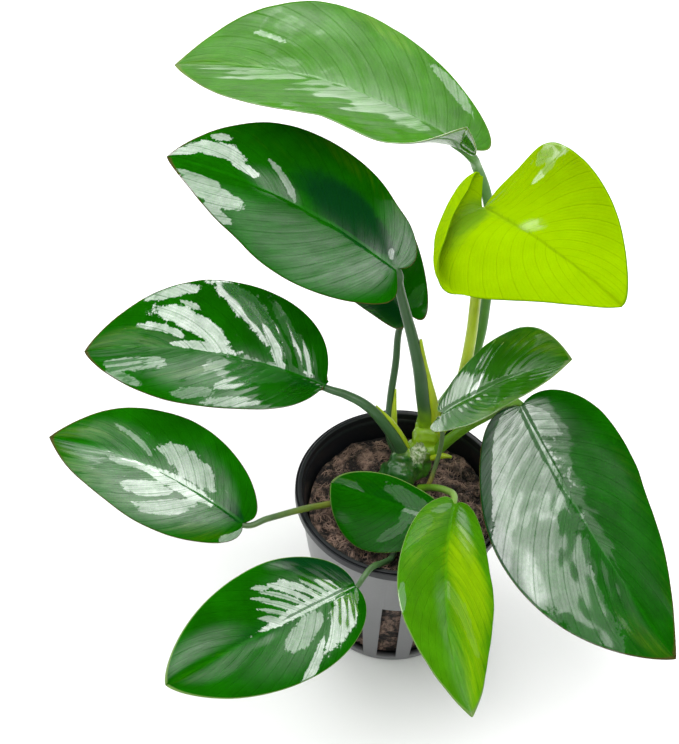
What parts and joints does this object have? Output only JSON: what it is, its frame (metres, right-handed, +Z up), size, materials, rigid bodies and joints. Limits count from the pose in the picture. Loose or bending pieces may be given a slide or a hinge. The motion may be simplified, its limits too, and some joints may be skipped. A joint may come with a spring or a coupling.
{
  "type": "potted aquarium plant",
  "caption": "Broad-leaved water plant: oval leathery leaves on slender stalks rise from a green rootstock set in fibrous medium in a small round slotted pot.",
  "frame": {"origin": "middle of the pot's flat underside, on the surface that it stands on", "axes": "+Z up the pot's axis, -Y towards the side the picture shows, +X to that view's right"},
  "size_m": [0.1641, 0.1614, 0.1487],
  "materials": {
    "pot_plastic": "satin black",
    "medium_fibre": "coarse fibre",
    "rootstock_green": "smooth, waxy",
    "blade_dark": "glossy, wet",
    "blade_mid": "glossy, wet",
    "blade_fresh": "glossy",
    "blade_lime": "soft gloss",
    "stalk_green": "satin",
    "stalk_lime": "satin"
  },
  "bodies": {
    "root": {"net_pot": "pot_plastic", "growing_medium": "medium_fibre", "rootstock": "rootstock_green", "sprout": "stalk_lime", "leaf_top": "blade_mid", "stalk_top": "stalk_green", "leaf_upper": "blade_dark", "stalk_upper": "stalk_green", "leaf_upper_back": "blade_dark", "stalk_upper_back": "stalk_green", "leaf_left": "blade_dark", "stalk_left": "stalk_green", "leaf_lower_left": "blade_dark", "stalk_lower_left": "stalk_green", "leaf_front_left": "blade_dark", "stalk_front_left": "stalk_green", "leaf_front": "blade_fresh", "stalk_front": "stalk_green", "leaf_centre": "blade_mid", "stalk_centre": "stalk_green", "leaf_right": "blade_dark", "stalk_right": "stalk_green", "leaf_inner_right": "blade_mid", "stalk_inner_right": "stalk_green", "leaf_young": "blade_lime", "stalk_young": "stalk_lime"}
  },
  "joints": []
}
